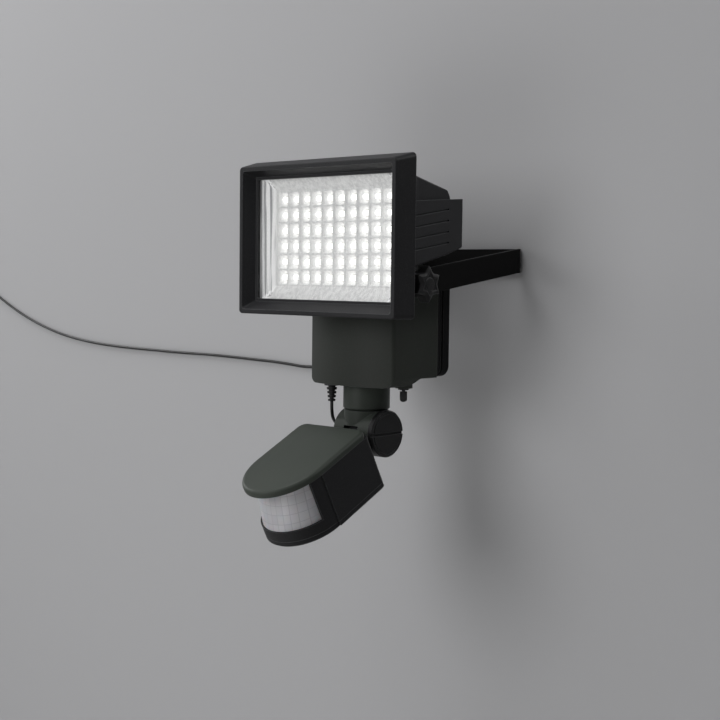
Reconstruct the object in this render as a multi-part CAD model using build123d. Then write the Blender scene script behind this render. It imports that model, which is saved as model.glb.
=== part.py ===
from build123d import *
import math
import os

# Solar floodlight with a motion sensor on a wall bracket. Millimetres, +Z up.
# The wall face is the plane y = 0, the lamp looks along -Y, and the origin is the
# middle of the bracket's back face, between its two wall holes.

# General fits
touch_gap = 0.3
running_gap = 0.06
shell_wall = 2.5

# Wall bracket, bent from one steel strip
strip_width = 22.0
strip_thickness = 3.0
arm_inset = 11.0
bend_radius = 4.0
pivot_reach = 151.0
pivot_drop = 21.4
pivot_radius = 4.0
pivot_boss = 5.5
wall_hole_radius = 3.25
wall_hole_spacing = 100.0

# Tilt clamps at the two ends of the pivot axis
rubber_washer = 1.0
washer_radius = 9.0
steel_washer = 1.2
knob_radius = 15.5
knob_lobes = 6
knob_lobe_radius = 4.6
knob_thickness = 9.5
knob_hub_radius = 8.5
knob_hub_length = 5.0
knob_edge = 1.4
knob_cap_radius = 7.0
knob_cap_top = 4.5
knob_cap_height = 1.6
insert_radius = 6.0
insert_depth = 2.5
pivot_recess = 1.0
bolt_head_radius = 8.0
bolt_head_height = 2.6
bolt_end_cover = 3.0

# Bezel and its window, measured from the bezel's front face
bezel_width = 190.0
bezel_height = 132.0
bezel_corner = 3.5
rim_width = 4.0
window_side = 13.0
window_margin = 12.5
window_depth = 14.0
window_rise = 1.2
flare_side = 4.0
flare_top = 5.5
flare_bottom = 0.5
pivot_back = 38.0
pivot_low = 37.0
front_edge = 1.2
reveal_spread = 5.0
reveal_lip = 3.0
bezel_screw_radius = 1.15
bezel_screw_length = 9.5
bezel_screw_bore = 7.0

# Lens, gasket, reflector and light board
lens_thickness = 2.5
lens_overlap = 4.0
gasket_width = 3.0
reflector_rim = 1.5
flange_thickness = 3.0
flange_cover = 3.0
tray_depth = 7.0
tray_inset = 10.5
cup_columns = 10
cup_rows = 6
cup_side_margin = 0.5
cup_end_margin = 1.0
cup_rib = 1.2
cup_floor = 7.0
cup_depth = 7.0
tray_rise = 1.0
led_radius = 2.5
led_height = 6.0
board_thickness = 1.6

# Lamp housing: its pan behind the bezel, its cheeks with grooves and its sloping hump
pan_side = 13.5
pan_end = 5.0
pan_drop = 1.0
pan_taper_side = 4.5
pan_taper_top = 8.0
pan_taper_bottom = 14.0
pan_depth = 50.0
cheek_depth = 106.6
cheek_front_top = 31.6
cheek_rear_top = 37.6
cheek_rear_bottom = -5.1
cheek_kink_depth = 86.7
cheek_kink_drop = -11.5
cheek_front_drop = -28.5
hump_depth = 91.5
hump_inset = 3.0
hump_rear_top = 44.6
groove_count = 4
groove_pitch = 9.6
groove_first = 17.4
groove_start = 33.0
groove_end = 87.0
groove_slope = 9.1
groove_width = 1.6
groove_depth = 1.2
groove_lift = 6.0
mouth_margin = 2.2
mouth_draft = 4.5

# Battery box under the lamp
box_width = 102.0
box_bulge = 11.0
box_front = 39.0
box_seam = 108.5
box_depth = 126.0
box_bottom = 128.6
box_rear_rise = 7.1
box_step_start = 75.0
box_step_end = 86.0
box_step_round = 7.0
box_side_round = 10.0
box_top = 26.0
box_corner = 4.0
box_gasket = 1.5
cover_flange = 3.4
cover_groove = 2.8
cover_groove_depth = 1.5
cover_edge = 2.0
cover_screw_radius = 1.5
cover_screw_bore = 11.0
cover_boss_radius = 4.0
cover_boss_length = 14.0
cover_head_depth = 4.0
cover_pocket_side = 14.0
cover_pocket_end = 18.0

# Battery pack and control board
cell_radius = 7.25
cell_length = 50.5
cell_count = 5
cell_gap = 0.4
tab_thickness = 0.3
cell_button = 1.0
cell_margin = 2.0
holder_wall = 2.0
holder_front = 1.8
control_margin = 13.5
control_height = 46.0
control_gap = 9.0
rail_inset = 4.0
rail_half = 1.5

# Switch and charging plug
switch_inset = 13.0
switch_depth = 78.0
switch_boss_radius = 8.0
switch_boss_drop = 1.5
boot_radius = 3.3
switch_seat = 7.8
switch_thread_radius = 3.6
switch_thread_proud = 1.8
switch_nut_height = 1.5
boot_length = 12.4
boot_swing_gap = 1.3
boot_wrap = 1.5
lever_radius = 1.5
lever_pin_radius = 0.8
lever_rise = 2.0
switch_half_width = 6.5
switch_half_depth = 4.0
switch_height = 10.0
switch_throat_low = 2.9
switch_throat_top = 2.0
switch_throat_length = 9.0
switch_nut_radius = 5.2
plug_inset = 26.0
plug_depth = 51.0
plug_length = 15.9
plug_top_radius = 4.9
plug_tip_radius = 3.3
plug_ribs = 4
plug_rib_depth = 1.5
plug_seat = 1.6
plug_barrel_radius = 2.75
plug_barrel_length = 9.5
jack_radius = 5.2
jack_nut_radius = 7.4
jack_flange = 1.8
jack_height = 14.0
jack_boss = 2.5
jack_boss_height = 3.5
jack_nut_height = 2.5

# Neck, knuckle and tilt screw
neck_depth = 70.6
neck_radius = 21.2
neck_length = 22.9
neck_boss = 11.0
neck_chamfer = 2.0
stub_radius = 15.0
wire_bore = 6.0
retainer_thickness = 3.0
retainer_radius = 18.5
hinge_drop = 20.3
barrel_half = 21.0
fork_bridge = 4.2
fork_lip = 6.5
tongue_radius = 15.4
tongue_half = 7.0
tongue_swell = 20.3
tongue_crest = 5.5
tongue_foot = 13.4
friction_washer = 1.2
disc_thickness = 5.2
disc_slot_width = 2.6
disc_slot_depth = 2.2
disc_ring = 2.6
disc_groove = 0.9
hinge_radius = 4.0
hinge_nut_width = 13.0
hinge_nut_height = 6.0
hinge_nut_sink = 1.0
friction_radius = 12.0
disc_chamfer = 1.2

# Sensor head, measured from the tilt hinge along its own length and height
head_pitch = 27.0
head_width = 79.0
head_back = 33.8
head_straight = 97.0
head_corner = 4.0
cover_corner = 9.0
nose_step = 1.3
visor_reach = 44.0
chin_reach = 40.5
cover_top = 27.0
cover_bottom = 20.8
body_bottom = -26.5
head_bottom = -32.0
lens_bottom = -16.5
lens_side = 110.0
lens_top_reach = 28.5
lens_wall = 1.2
head_wall = 2.2
nose_thinning = 1.2
visor_fillet = 3.2
chin_edge = 1.6
dial_radius = 5.0
dial_spacing = 19.0
dial_forward = 70.0
dial_proud = 1.6
pir_radius = 4.6
pir_height = 4.2
dial_chamfer = 0.6
dial_slot = 1.2
pot_side = 10.0
pot_height = 5.0
sensor_board_forward = 88.0
sensor_board_side = 8.5
head_screw_front = 91.0
head_screw_back = 12.0
head_screw_radius = 1.1
head_screw_head = 2.5
head_post_radius = 3.6
head_post_inset = 4.0

# Cord, its spare coil and its far end
cord_diameter = 3.0
coil_turns = 4
coil_layers = 4
coil_step = 3.8
coil_layer_step = 4.2
coil_mid_radius = 21.0
coil_wall_gap = 7.3
tie_thickness = 1.0
tie_width = 3.6
connector_radius = 5.0
connector_length = 34.0
clip_width = 10.0
clip_length = 8.0
clip_wall = 1.8

# Places worked out from the sizes above
bracket_width = bezel_width - 2 * arm_inset
arm_x = bracket_width / 2
housing_half = arm_x - strip_thickness - rubber_washer
pivot_y = -pivot_reach
pivot_z = -pivot_drop
front_y = pivot_y - pivot_back
lamp_z = pivot_z + pivot_low
bezel_depth = window_depth + lens_thickness + reflector_rim + flange_thickness
window_z = lamp_z + window_rise
window_width = bezel_width - 2 * window_side
window_height = bezel_height - 2 * window_margin
lens_width = window_width + 2 * lens_overlap
lens_height = window_height + 2 * lens_overlap
cord_radius = cord_diameter / 2
far = 4 * neck_radius


def block(x0, x1, y0, y1, z0, z1):
    size = Box(x1 - x0, y1 - y0, z1 - z0)
    return Pos((x0 + x1) / 2, (y0 + y1) / 2, (z0 + z1) / 2) * size


def rod_x(radius, x0, x1, y, z):
    return Pos((x0 + x1) / 2, y, z) * Rot(0, 90, 0) * Cylinder(radius, x1 - x0)


def rod_y(radius, y0, y1, x, z):
    return Pos(x, (y0 + y1) / 2, z) * Rot(90, 0, 0) * Cylinder(radius, y1 - y0)


def rod_z(radius, z0, z1, x, y):
    return Pos(x, y, (z0 + z1) / 2) * Cylinder(radius, z1 - z0)


def side_plate(points, x0, x1):
    outline = Polyline(*points, close=True)
    face = Plane.YZ.offset(x0) * make_face(outline)
    return extrude(face, x1 - x0)


def front_plane(y, z):
    return Plane(origin=(0, y, z), x_dir=(1, 0, 0), z_dir=(0, -1, 0))


def upright_slab(width, height, corner, y0, y1, z):
    face = front_plane(y1, z) * RectangleRounded(width, height, corner)
    return extrude(face, y1 - y0)


def upright_taper(width0, height0, z0, corner0, y0, width1, height1, z1, corner1, y1):
    first = front_plane(y0, z0) * RectangleRounded(width0, height0, corner0)
    last = front_plane(y1, z1) * RectangleRounded(width1, height1, corner1)
    return loft([first.face(), last.face()])


def lamp_point(depth, height):
    return (front_y + depth, lamp_z + height)


made = {}
os.makedirs("parts", exist_ok=True)


def keep(name, shape):
    items = shape if isinstance(shape, list) else [shape]
    solids = [solid for item in items for solid in item.solids()]
    made[name] = solids[0] if len(solids) == 1 else Compound(solids)
    print(name, len(solids), "solids", round(sum(solid.volume for solid in solids)))


# Bracket


def bracket():
    half = strip_width / 2
    rise = math.atan2(pivot_drop, pivot_reach)
    nx = math.sin(rise) * half
    nz = math.cos(rise) * half
    profile = [
        (0, -half),
        (0, half),
        (-bend_radius - 1.0, half),
        (pivot_y - nx, pivot_z + nz),
        (pivot_y + nx, pivot_z - nz),
        (-bend_radius - 1.0, -half),
    ]
    body = block(-arm_x, arm_x, -strip_thickness, 0, -half, half)
    for side in (-1, 1):
        inner = side * (arm_x - strip_thickness)
        outer = side * arm_x
        x0, x1 = min(inner, outer), max(inner, outer)
        body += side_plate(profile, x0, x1)
        body += rod_x(half, x0, x1, pivot_y, pivot_z)
    outer_bends = body.edges().filter_by(Axis.Z).filter_by(lambda e: abs(e.center().Y) < 0.01)
    body = fillet(outer_bends, bend_radius)
    for side in (-1, 1):
        centre = side * arm_x
        hole = pivot_radius + running_gap
        body -= rod_x(hole, centre - 2 * strip_thickness, centre + 2 * strip_thickness, pivot_y, pivot_z)
        spot = side * wall_hole_spacing / 2
        body -= rod_y(wall_hole_radius, -2 * strip_thickness, strip_thickness, spot, 0)
    return body


def star_knob(side):
    x0 = arm_x + steel_washer
    x1 = x0 + knob_hub_length
    x2 = x1 + knob_thickness
    centre_radius = knob_radius - knob_lobe_radius
    star = Circle(centre_radius)
    for lobe in range(knob_lobes):
        angle = 360 / knob_lobes * lobe
        star += Rot(0, 0, angle) * Pos(centre_radius, 0) * Circle(knob_lobe_radius)
    wheel = extrude(Plane.YZ.offset(x1) * star, x2 - x1)
    wheel = fillet(wheel.faces().sort_by(Axis.X)[-1].edges(), knob_edge)
    hub = Pos((x0 + x1) / 2, 0, 0) * Rot(0, 90, 0) * Cone(knob_hub_radius, centre_radius, x1 - x0)
    cap = Cone(knob_cap_radius, knob_cap_top, knob_cap_height)
    cap = Pos(x2 + knob_cap_height / 2, 0, 0) * Rot(0, 90, 0) * cap
    knob = wheel + hub + cap
    knob -= rod_x(insert_radius, x0 - 1, x1 + insert_depth, 0, 0)
    knob -= rod_x(pivot_radius + touch_gap, x0 - 1, x2 - bolt_end_cover / 2, 0, 0)
    knob = Pos(0, pivot_y, pivot_z) * knob
    return knob if side > 0 else mirror(knob, about=Plane.YZ)


def knob_insert(side):
    x0 = arm_x + steel_washer
    x1 = x0 + knob_hub_length + insert_depth
    insert = rod_x(insert_radius, x0, x1, pivot_y, pivot_z)
    insert -= rod_x(pivot_radius + running_gap, x0 - 1, x1 + 1, pivot_y, pivot_z)
    return insert if side > 0 else mirror(insert, about=Plane.YZ)


def both_sides(shape):
    return [shape, mirror(shape, about=Plane.YZ)]


def pivot_bolt():
    x0 = housing_half - pivot_boss
    x1 = arm_x + steel_washer + knob_hub_length + knob_thickness - bolt_end_cover
    bolt = rod_x(pivot_radius, x0, x1, pivot_y, pivot_z)
    head = rod_x(bolt_head_radius, x0 - bolt_head_height, x0, pivot_y, pivot_z)
    return bolt + head


def pivot_washer():
    x1 = arm_x - strip_thickness
    washer = rod_x(washer_radius, x1 - rubber_washer, x1, pivot_y, pivot_z)
    return washer - rod_x(pivot_radius + running_gap, x1 - 5, x1 + 5, pivot_y, pivot_z)


def clamp_washer():
    washer = rod_x(washer_radius, arm_x, arm_x + steel_washer, pivot_y, pivot_z)
    return washer - rod_x(pivot_radius + running_gap, arm_x - 5, arm_x + 5, pivot_y, pivot_z)


keep("wall_bracket", bracket())
keep("right_side_knob", star_knob(1))
keep("left_side_knob", star_knob(-1))
keep("right_knob_insert", knob_insert(1))
keep("left_knob_insert", knob_insert(-1))
keep("pivot_bolts", both_sides(pivot_bolt()))
keep("rubber_washers", both_sides(pivot_washer()))
keep("steel_washers", both_sides(clamp_washer()))

# Bezel, lens and light

back_width = bezel_width + 2 * flare_side
back_height = bezel_height + flare_top + flare_bottom
back_z = lamp_z + (flare_top - flare_bottom) / 2
bezel_back = front_y + bezel_depth
lens_front = front_y + window_depth
rim_front = lens_front + lens_thickness
flange_front = rim_front + reflector_rim
screw_x = lens_width / 2 + gasket_width + 2.6
screw_z = lens_height / 2 - 4.0


def screw_spots():
    return [(sx * screw_x, window_z + sz * screw_z) for sx in (-1, 1) for sz in (-1, 1)]


def bezel():
    outer = upright_taper(
        bezel_width, bezel_height, lamp_z, bezel_corner, front_y,
        back_width, back_height, back_z, bezel_corner + 1, bezel_back,
    )
    front_edges = outer.faces().sort_by(Axis.Y)[0].edges()
    outer = fillet(front_edges, front_edge)
    reveal_width = bezel_width - 2 * rim_width
    reveal_height = bezel_height - 2 * rim_width
    outer -= upright_taper(
        reveal_width, reveal_height, lamp_z, 2.5, front_y,
        window_width + reveal_spread, window_height + reveal_spread, window_z, 1.5,
        lens_front - reveal_lip,
    )
    outer -= upright_slab(window_width, window_height, 1.2, front_y, lens_front + 0.1, window_z)
    seat_width = lens_width + 2 * gasket_width
    seat_height = lens_height + 2 * gasket_width
    outer -= upright_slab(seat_width, seat_height, 4.0, lens_front, bezel_back + 1, window_z)
    skirt_width = back_width - 2 * flange_cover
    skirt_height = back_height - 2 * flange_cover
    outer -= upright_slab(skirt_width, skirt_height, 3.0, flange_front, bezel_back + 1, back_z)
    for x, z in screw_spots():
        outer -= rod_y(bezel_screw_radius + running_gap, flange_front - bezel_screw_bore, flange_front + 1, x, z)
    return outer


def front_lens():
    return upright_slab(lens_width, lens_height, 2.0, lens_front, rim_front, window_z)


def lens_gasket():
    ring = upright_slab(
        lens_width + 2 * gasket_width, lens_height + 2 * gasket_width, 4.0, lens_front, flange_front, window_z
    )
    return ring - upright_slab(lens_width, lens_height, 2.0, lens_front - 1, flange_front + 1, window_z)


plate_front = rim_front + tray_depth + reflector_rim
plate_back = plate_front + cup_depth
tray_width = window_width - 2 * tray_inset
tray_height = window_height - 2 * tray_inset
cup_pitch = (tray_width - 2 * cup_side_margin) / cup_columns
cup_row_pitch = (tray_height - 2 * cup_end_margin) / cup_rows
cup_width = min(cup_pitch, cup_row_pitch) - cup_rib
tray_z = window_z + tray_rise


def cup_spots():
    for row in range(cup_rows):
        for column in range(cup_columns):
            x = (column - (cup_columns - 1) / 2) * cup_pitch
            z = tray_z + (row - (cup_rows - 1) / 2) * cup_row_pitch
            yield x, z


def reflector():
    wall = reflector_rim
    body = upright_slab(lens_width, lens_height, 2.0, rim_front, flange_front, window_z)
    body += upright_taper(
        window_width + 2.4, window_height + 2.4, window_z, 2.0, flange_front,
        tray_width + 2 * wall, tray_height + 2 * wall, tray_z, 2.0, plate_front,
    )
    body += upright_slab(
        tray_width + 2 * wall, tray_height + 2 * wall, 2.0, plate_front, plate_front + wall, tray_z
    )
    body += upright_slab(tray_width, tray_height, 2.0, plate_front - wall, plate_back, tray_z)
    body -= upright_taper(
        window_width, window_height, window_z, 1.5, rim_front,
        tray_width, tray_height, tray_z, 1.5, plate_front,
    )
    cup = upright_taper(
        cup_width, cup_width, 0, 2.4, plate_front - 0.01, cup_floor, cup_floor, 0, 2.0, plate_back
    )
    cups = [Pos(x, 0, z) * cup for x, z in cup_spots()]
    return body - cups


def led_board():
    return upright_slab(tray_width, tray_height, 2.0, plate_back, plate_back + board_thickness, tray_z)


def leds():
    lamp = rod_y(led_radius, plate_back - led_height + led_radius, plate_back, 0, 0)
    lamp += Pos(0, plate_back - led_height + led_radius, 0) * Sphere(led_radius)
    lamp = lamp & block(-9, 9, plate_back - 20, plate_back, -9, 9)
    return [Pos(x, 0, z) * lamp for x, z in cup_spots()]


def screw(radius, head_radius, head_height, length, x, y, z):
    """A cheese-head screw along Y, its head's outer face towards +Y, its head's seat at y."""
    body = rod_y(radius, y - length, y, x, z) + rod_y(head_radius, y, y + head_height, x, z)
    slot = block(x - 0.4, x + 0.4, y + head_height - 0.7, y + head_height + 1, z - 9, z + 9)
    return body - slot


def bezel_screws():
    seat = flange_front + flange_thickness
    return [screw(bezel_screw_radius, 2.4, 1.6, bezel_screw_length, x, seat, z) for x, z in screw_spots()]


pan_front_half = bezel_width / 2 - pan_side
pan_rear_half = pan_front_half - pan_taper_side
pan_front_top = bezel_height / 2 - pan_end
pan_front_bottom = pan_front_top - pan_drop
pan_rear_top = pan_front_top - pan_taper_top
pan_rear_bottom = pan_front_bottom - pan_taper_bottom


def housing_outline(inset):
    """The cheeks' side outline, drawn in by a wall's thickness."""
    back = cheek_depth - inset
    slope_in = inset * 1.03
    return [
        lamp_point(bezel_depth, cheek_front_top - slope_in),
        lamp_point(back, cheek_rear_top - slope_in),
        lamp_point(back, cheek_rear_bottom + slope_in),
        lamp_point(cheek_kink_depth, cheek_kink_drop + slope_in),
        lamp_point(bezel_depth, cheek_front_drop + slope_in),
    ]


def hump_outline(inset):
    back = hump_depth - inset
    return [
        lamp_point(bezel_depth, pan_front_top - inset),
        lamp_point(back - 2.6, hump_rear_top - inset * 1.03),
        lamp_point(back, hump_rear_top - 4.0 - inset),
        lamp_point(back, 5.0),
        lamp_point(bezel_depth, 5.0),
    ]


def pan(inset):
    front_height = pan_front_top + pan_front_bottom - 2 * inset
    front_z = lamp_z + (pan_front_top - pan_front_bottom) / 2
    rear_height = pan_rear_top + pan_rear_bottom - 2 * inset
    rear_z = lamp_z + (pan_rear_top - pan_rear_bottom) / 2
    return upright_taper(
        2 * (pan_front_half - inset), front_height, front_z, 4.0, front_y + bezel_depth,
        2 * (pan_rear_half - inset), rear_height, rear_z, 4.0, front_y + pan_depth - inset,
    )


def housing():
    hump_half = housing_half - hump_inset
    cheeks = side_plate(housing_outline(0), -housing_half, housing_half)
    rear_edges = cheeks.edges().filter_by(lambda e: e.center().Y > front_y + cheek_kink_depth + 1)
    cheeks = fillet(rear_edges, 2.0)
    hump = side_plate(hump_outline(0), -hump_half, hump_half)
    hump_edges = hump.edges().filter_by(
        lambda e: e.center().Z > lamp_z + hump_rear_top - 6.0 and e.center().Y > front_y + bezel_depth + 1
    )
    hump = fillet(hump_edges, 1.8)
    body = pan(0) + cheeks + hump
    boss = rod_x(washer_radius + 2.0, housing_half - pivot_boss, housing_half, pivot_y, pivot_z)
    body += both_sides(boss)
    flange = upright_slab(
        back_width - 2 * flange_cover - 2 * touch_gap, back_height - 2 * flange_cover - 2 * touch_gap,
        3.0, flange_front, bezel_back, back_z,
    )
    inside = side_plate(housing_outline(shell_wall), -housing_half + shell_wall, housing_half - shell_wall)
    inside += side_plate(hump_outline(shell_wall), -hump_half + shell_wall, hump_half - shell_wall)
    inside += pan(shell_wall)
    body += flange
    body -= inside
    mouth_width = window_width + 2 * mouth_margin
    mouth_height = window_height + 2 * mouth_margin
    body -= upright_taper(
        mouth_width, mouth_height, window_z, mouth_margin, flange_front,
        mouth_width - 2 * mouth_draft, mouth_height - 2 * mouth_draft, window_z, mouth_margin, bezel_back,
    )
    for x, z in screw_spots():
        body -= rod_y(bezel_screw_radius + 0.15, flange_front - 1, bezel_back + 1, x, z)
    bolt_hole = pivot_radius + 0.1
    body -= rod_x(bolt_hole, -2 * arm_x, 2 * arm_x, pivot_y, pivot_z)
    recess = rod_x(strip_width / 2 + pivot_recess, housing_half, arm_x, pivot_y, pivot_z)
    body -= both_sides(recess)
    for side in (-1, 1):
        for number in range(groove_count):
            middle_y = (groove_start + groove_end) / 2
            middle_z = groove_first - number * groove_pitch + groove_lift
            length = (groove_end - groove_start) / math.cos(math.radians(groove_slope))
            y, z = lamp_point(middle_y, middle_z)
            groove = Box(2 * groove_depth, length, groove_width)
            body -= Pos(side * housing_half, y, z) * Rot(groove_slope, 0, 0) * groove
    return body


keep("bezel", bezel())
keep("front_lens", front_lens())
keep("lens_gasket", lens_gasket())
keep("reflector", reflector())
keep("led_board", led_board())
keep("leds", leds())
keep("bezel_screws", bezel_screws())
keep("lamp_housing", housing())

# Battery box

box_half = box_width / 2
box_rear_bottom = box_bottom - box_rear_rise
box_side_y = front_y + box_front + box_bulge
box_seam_y = front_y + box_seam
floor_z = lamp_z - box_bottom
neck_y = front_y + neck_depth
switch_x = box_half - switch_inset
switch_y = front_y + switch_depth
plug_x = plug_inset - box_half
plug_y = front_y + plug_depth


def box_plan(inset, back_y):
    """The box seen from above: flat sides, rounded front corners and a bowed front."""
    side = box_half - inset
    bow = Polyline((side, back_y), (side, box_side_y), close=False)
    bow += ThreePointArc((side, box_side_y), (0, front_y + box_front + inset), (-side, box_side_y))
    bow += Polyline((-side, box_side_y), (-side, back_y), (side, back_y))
    plan = make_face(bow)
    corners = plan.vertices().filter_by(lambda v: abs(v.Y - box_side_y) < 0.1)
    return fillet(corners, max(box_corner - inset, 1.0))


def box_profile(inset):
    """The box seen from its side, under the pan and the cheeks of the lamp housing."""
    pan_slope = (pan_front_bottom - pan_rear_bottom) / (pan_depth - bezel_depth)
    pan_here = pan_rear_bottom + pan_slope * (pan_depth - box_front + 2)
    cheek_slope = (cheek_kink_drop - cheek_front_drop) / (cheek_kink_depth - bezel_depth)
    cheek_here = cheek_front_drop + cheek_slope * (pan_depth - bezel_depth)
    return [
        lamp_point(box_front - 2 + inset, -pan_here - inset),
        lamp_point(pan_depth + inset, -pan_rear_bottom - inset),
        lamp_point(pan_depth + inset, cheek_here - inset),
        lamp_point(cheek_kink_depth - inset, cheek_kink_drop - inset),
        lamp_point(cheek_kink_depth - inset, -box_top - inset),
        lamp_point(box_seam + inset, -box_top - inset),
        lamp_point(box_seam + inset, -box_rear_bottom + inset),
        lamp_point(box_step_end, -box_rear_bottom + inset),
        lamp_point(box_step_start, -box_bottom + inset),
        lamp_point(box_front - 2 + inset, -box_bottom + inset),
    ]


def on_step(corner):
    """Whether a corner of the box's side outline is an end of the slope under the box."""
    depth = corner.X - front_y
    return box_step_start - 1 < depth < box_step_end + 1 and corner.Y < lamp_z - box_bottom / 2


def rounded_below(inset, corner, y0, y1, low, high):
    """A slab across the box's width with its two lower corners rounded."""
    height = high - low - inset + 2 * corner
    middle = low + inset + height / 2
    slab = upright_slab(box_width - 2 * inset, height, max(corner - inset, 1.0), y0, y1, middle)
    return slab & block(-box_half, box_half, y0, y1, low, high - inset)


def box_block(inset):
    plan = extrude(Pos(0, 0, floor_z - 5) * box_plan(inset, box_seam_y + inset), box_bottom)
    profile = make_face(Polyline(*box_profile(inset), close=True))
    step_corners = profile.vertices().filter_by(on_step)
    profile = fillet(step_corners, box_step_round)
    side = extrude(Plane.YZ.offset(-box_half) * profile, box_width)
    return plan & side & rounded_below(inset, box_side_round, front_y, box_seam_y + far, floor_z, lamp_z)


def box_boss_spots():
    corner_x = box_half - shell_wall - 3.0
    low = lamp_z - box_rear_bottom + 9.0
    high = lamp_z - box_top - 7.0
    return [(sx * corner_x, z) for sx in (-1, 1) for z in (low, high)]


def box_front_shell():
    solid = box_block(0)
    solid += rod_z(switch_boss_radius, floor_z - switch_boss_drop, floor_z + 8.0, switch_x, switch_y)
    body = solid - box_block(shell_wall)
    boss_top = floor_z + neck_boss
    body += rod_z(neck_radius, floor_z, boss_top, 0, neck_y) & box_block(0)
    body += rod_z(switch_boss_radius, floor_z, floor_z + switch_seat, switch_x, switch_y)
    body += rod_z(jack_radius + jack_boss, floor_z, floor_z + jack_boss_height, plug_x, plug_y)
    for x, z in box_boss_spots():
        body += rod_y(cover_boss_radius, box_seam_y - cover_boss_length, box_seam_y, x, z)
        body -= rod_y(cover_screw_radius, box_seam_y - cover_screw_bore, box_seam_y + 1, x, z)
    body -= rod_z(stub_radius, floor_z - far, boss_top + 1, 0, neck_y)
    body -= rod_z(switch_thread_radius, floor_z - far, floor_z + far, switch_x, switch_y)
    body -= rod_z(jack_radius, floor_z - far, floor_z + far, plug_x, plug_y)
    return body


cover_front = box_seam_y + box_gasket
cover_back = front_y + box_depth
cover_top_z = lamp_z - box_top
cover_bottom_z = lamp_z - box_rear_bottom
cover_height = cover_top_z - cover_bottom_z
cover_z = (cover_top_z + cover_bottom_z) / 2


def box_gasket_ring():
    ring = rounded_below(0.5, box_side_round, box_seam_y, cover_front, cover_bottom_z, cover_top_z)
    inner_width = box_width - 2 * shell_wall - 12.0
    ring -= upright_slab(inner_width, cover_height - 16.0, 2.0, box_seam_y - 1, cover_front + 1, cover_z)
    for x, z in box_boss_spots():
        ring -= rod_y(cover_screw_radius + 0.2, box_seam_y - 1, cover_front + 1, x, z)
    return ring


def box_rear_cover():
    step = cover_front + cover_flange
    low, high = cover_bottom_z, cover_top_z
    body = rounded_below(0, box_side_round, cover_front, step, low, high)
    body += rounded_below(cover_groove_depth, box_side_round, step, step + cover_groove, low, high)
    lid = rounded_below(0, box_side_round, step + cover_groove, cover_back, low, high)
    lid = fillet(lid.faces().sort_by(Axis.Y)[-1].edges(), cover_edge)
    body += lid
    pocket_width = box_width - 2 * shell_wall - cover_pocket_side
    pocket_height = cover_height - cover_pocket_end
    body -= upright_slab(pocket_width, pocket_height, 4.0, cover_front - 1, cover_back - shell_wall, cover_z)
    for x, z in box_boss_spots():
        body -= rod_y(cover_screw_radius + 0.1, cover_front - 1, cover_back + 1, x, z)
        body -= rod_y(3.4, cover_back - cover_head_depth, cover_back + 1, x, z)
    return body


def box_cover_screws():
    seat = cover_back - cover_head_depth
    length = seat - box_seam_y + 9.0
    return [screw(cover_screw_radius - 0.05, 2.9, 2.0, length, x, seat, z) for x, z in box_boss_spots()]


keep("battery_box", box_front_shell())
keep("box_gasket", box_gasket_ring())
keep("box_rear_cover", box_rear_cover())
keep("box_cover_screws", box_cover_screws())

# Battery pack on its tray, and the control board

pack_y = box_seam_y - cell_radius - cell_margin
cell_bottom = lamp_z - box_top - 12.0 - cell_length
cell_step = 2 * cell_radius + cell_gap
pack_half = cell_step * (cell_count - 1) / 2 + cell_radius


def battery_cells():
    cells = []
    for number in range(cell_count):
        x = (number - (cell_count - 1) / 2) * cell_step
        cell = rod_z(cell_radius, cell_bottom, cell_bottom + cell_length, x, pack_y)
        cell = fillet(cell.edges(), 0.8)
        top = cell_bottom + cell_length
        cell += rod_z(2.6, top - 0.5, top + cell_button, x, pack_y)
        cells.append(cell)
    return cells


def battery_holder():
    back = pack_y + cell_radius + cell_margin
    front = pack_y - cell_radius - holder_front
    low = cell_bottom - tab_thickness - holder_wall
    high = cell_bottom + cell_length + cell_button + tab_thickness + holder_wall
    half = pack_half + holder_wall
    body = block(-half, half, front, back, low, high)
    body -= block(
        -pack_half - 0.2, pack_half + 0.2, pack_y - cell_radius - 0.2, back + 1,
        cell_bottom - tab_thickness, cell_bottom + cell_length + cell_button + tab_thickness,
    )
    for side in (-1, 1):
        x = side * half
        reach = side * (box_half - shell_wall)
        body += block(min(x, reach), max(x, reach), front + 2.0, front + 4.0, low + 4.0, low + 16.0)
    return body


def battery_links():
    links = []
    for number in range(cell_count - 1):
        x0 = (number - (cell_count - 1) / 2) * cell_step
        low = number % 2 == 0
        z = cell_bottom - tab_thickness if low else cell_bottom + cell_length + cell_button
        links.append(block(x0 - 2.2, x0 + cell_step + 2.2, pack_y - 2.5, pack_y + 2.5, z, z + tab_thickness))
    return links


control_width = 2 * (box_half - shell_wall - control_margin)
control_y = pack_y - cell_radius - control_gap
control_bottom = cell_bottom + 4.0


def control_board():
    return block(
        -control_width / 2, control_width / 2, control_y, control_y + board_thickness,
        control_bottom, control_bottom + control_height,
    )


def board_mounts():
    """Two rails of the tray that carry the control board."""
    front = pack_y - cell_radius - holder_front
    rails = []
    for side in (-1, 1):
        x = side * (control_width / 2 - rail_inset)
        rails.append(block(
            x - rail_half, x + rail_half, control_y + board_thickness, front,
            control_bottom + 2.0, control_bottom + control_height - 2.0,
        ))
    return rails


def board_components():
    face = control_y
    low = control_bottom
    parts = [
        block(-30, -14, face - 12.0, face, low + 24, low + 40),
        block(-4, 10, face - 2.4, face, low + 14, low + 24),
        rod_y(4.0, face - 9.0, face, 22, low + 32),
        rod_y(3.0, face - 8.0, face, 22, low + 20),
        block(16, 28, face - 6.0, face, low + 3, low + 11),
        block(-32, -18, face - 7.0, face, low + 3, low + 11),
    ]
    return parts


keep("battery_cells", battery_cells())
keep("battery_holder", [battery_holder() + board_mounts()])
keep("battery_links", battery_links())
keep("control_board", control_board())
keep("board_components", board_components())

# Mode switch and charging plug

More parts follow.
